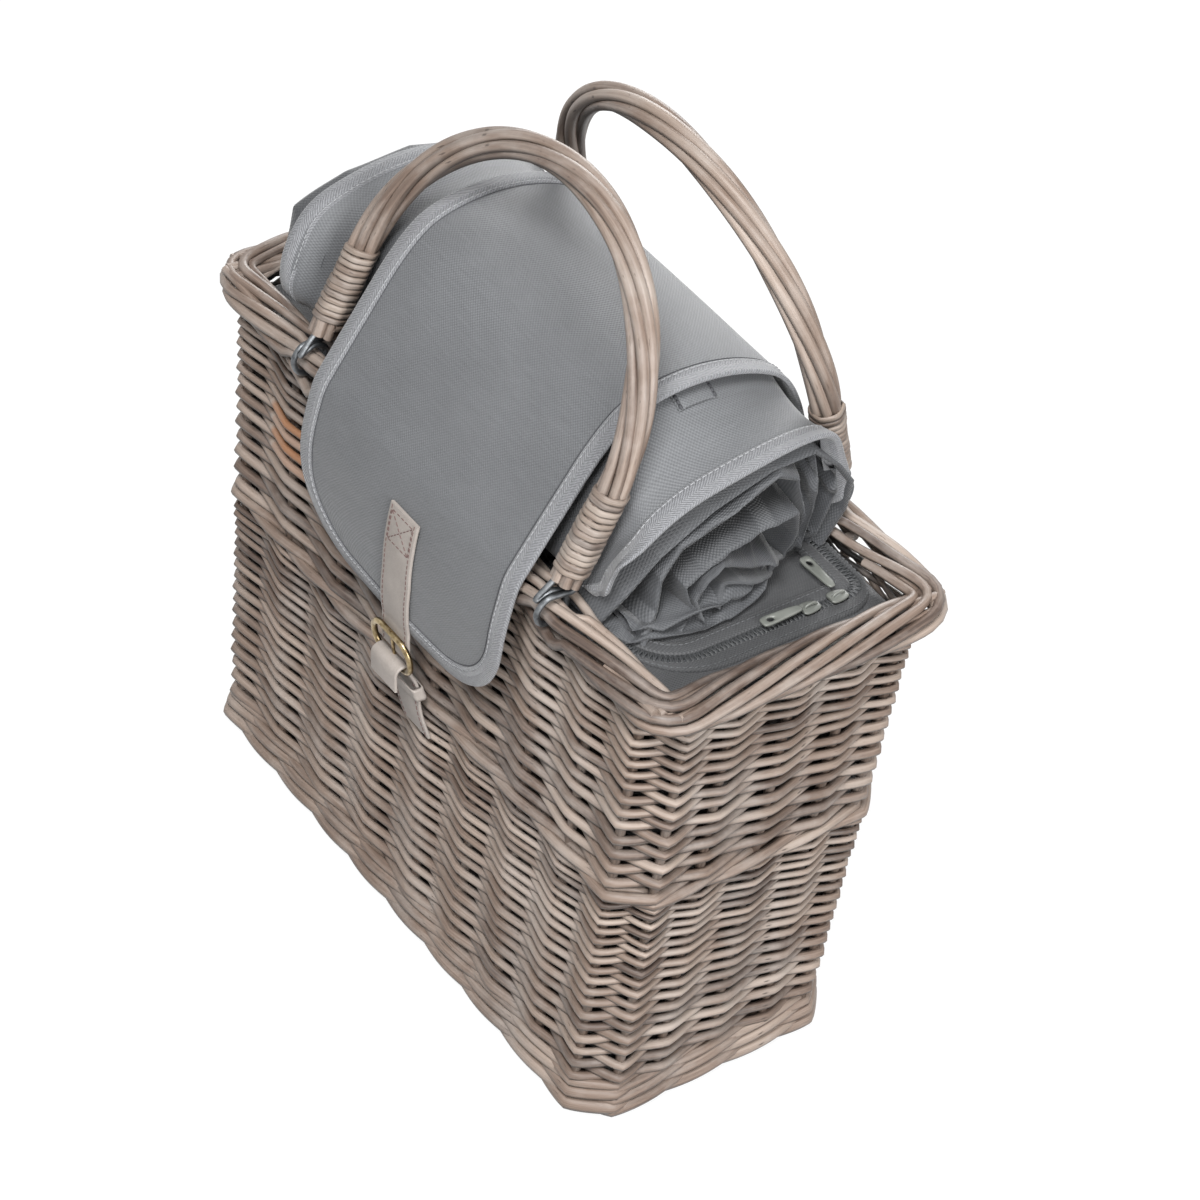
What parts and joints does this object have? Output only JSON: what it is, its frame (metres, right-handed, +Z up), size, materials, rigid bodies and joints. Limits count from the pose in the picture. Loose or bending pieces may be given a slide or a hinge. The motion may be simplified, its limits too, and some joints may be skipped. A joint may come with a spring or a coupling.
{
  "type": "chiller basket",
  "caption": "Rectangular grey-washed willow chiller basket with an insulated zipped bag, swinging hoop handles, a rolled blanket and a buckled canvas flap.",
  "frame": {"origin": "middle of the underside, on the floor", "axes": "+Z up, X along the basket, the flap and buckle on the front face towards -Y"},
  "size_m": [0.4, 0.1993, 0.4741],
  "materials": {
    "willow": "grey-washed, peeled willow rods, dull",
    "cane": "flat cane binding, dull",
    "wire": "dull galvanised wire",
    "canvas": "grey cotton canvas, plain weave",
    "blanket": "dark grey backed blanket",
    "foam": "white closed-cell foam",
    "lining": "silver wipe-clean film",
    "zip_tape": "grey nylon coil on tape",
    "zip_metal": "dull antique zip metal",
    "leather": "taupe, smooth, stitched edge",
    "brass": "antique, softly polished"
  },
  "bodies": {
    "basket": {"wall_front": "willow", "wall_rear": "willow", "wall_left": "willow", "wall_right": "willow", "corner_front_left": "willow", "corner_front_right": "willow", "corner_rear_left": "willow", "corner_rear_right": "willow", "base_weave": "willow", "foot_wale": "willow", "mid_wale": "willow", "rim_front": "willow", "rim_rear": "willow", "rim_right": "willow", "rim_left": "willow", "bag_shell": "canvas", "lid_skin": "canvas", "blanket_wrap": "canvas", "flap_cover": "canvas", "wrap_tab_left": "canvas", "wrap_tab_right": "canvas", "blanket_roll": "blanket", "bag_foam": "foam", "lid_foam": "foam", "bag_lining": "lining", "lid_lining": "lining", "zip_coil": "zip_tape"},
    "front_handle": {"front_handle_rod_1": "willow", "front_handle_rod_2": "willow", "front_handle_rod_3": "willow", "front_handle_cane_left": "cane", "front_handle_cane_right": "cane", "front_handle_ring_left": "wire", "front_handle_ring_right": "wire"},
    "rear_handle": {"rear_handle_rod_1": "willow", "rear_handle_rod_2": "willow", "rear_handle_rod_3": "willow", "rear_handle_cane_left": "cane", "rear_handle_cane_right": "cane", "rear_handle_ring_left": "wire", "rear_handle_ring_right": "wire"},
    "flap": {"flap_tongue": "canvas", "strap_upper": "leather", "buckle_frame": "brass"},
    "tail": {"strap_tail": "leather", "strap_keeper": "leather"},
    "prong": {"buckle_prong": "brass"},
    "slider_a": {"zip_slider_a": "zip_metal"},
    "pull_a": {"zip_pull_a": "zip_metal"},
    "slider_b": {"zip_slider_b": "zip_metal"},
    "pull_b": {"zip_pull_b": "zip_metal"}
  },
  "joints": [
    {"name": "front_handle_swing", "type": "hinge", "parent": "basket", "child": "front_handle", "pos_m": [0, -0.0857, 0.3007], "axis": [1, 0, 0], "range_deg": [0, 110]},
    {"name": "rear_handle_swing", "type": "hinge", "parent": "basket", "child": "rear_handle", "pos_m": [0, 0.0857, 0.3007], "axis": [-1, 0, 0], "range_deg": [0, 105]},
    {"name": "flap_lift", "type": "hinge", "parent": "basket", "child": "flap", "pos_m": [0, -0.0935, 0.3003], "axis": [-1, 0, 0], "range_deg": [0, 50]},
    {"name": "tail_swing", "type": "hinge", "parent": "flap", "child": "tail", "pos_m": [0.003, -0.0986, 0.189], "axis": [-1, 0, 0], "range_deg": [0, 45]},
    {"name": "prong_swing", "type": "hinge", "parent": "flap", "child": "prong", "pos_m": [0.003, -0.0986, 0.189], "axis": [1, 0, 0], "range_deg": [0, 65]},
    {"name": "slider_a_run", "type": "slide", "parent": "basket", "child": "slider_a", "axis": [0, -1, 0], "range_m": [0, 0.054]},
    {"name": "pull_a_flip", "type": "hinge", "parent": "slider_a", "child": "pull_a", "pos_m": [0.1571, 0.023, 0.29495], "axis": [-1, 0, 0], "range_deg": [0, 100]},
    {"name": "slider_b_run", "type": "slide", "parent": "basket", "child": "slider_b", "axis": [0, 1, 0], "range_m": [0, 0.006]},
    {"name": "pull_b_flip", "type": "hinge", "parent": "slider_b", "child": "pull_b", "pos_m": [0.1516, 0.047, 0.29495], "axis": [0, 1, 0], "range_deg": [0, 110]}
  ]
}
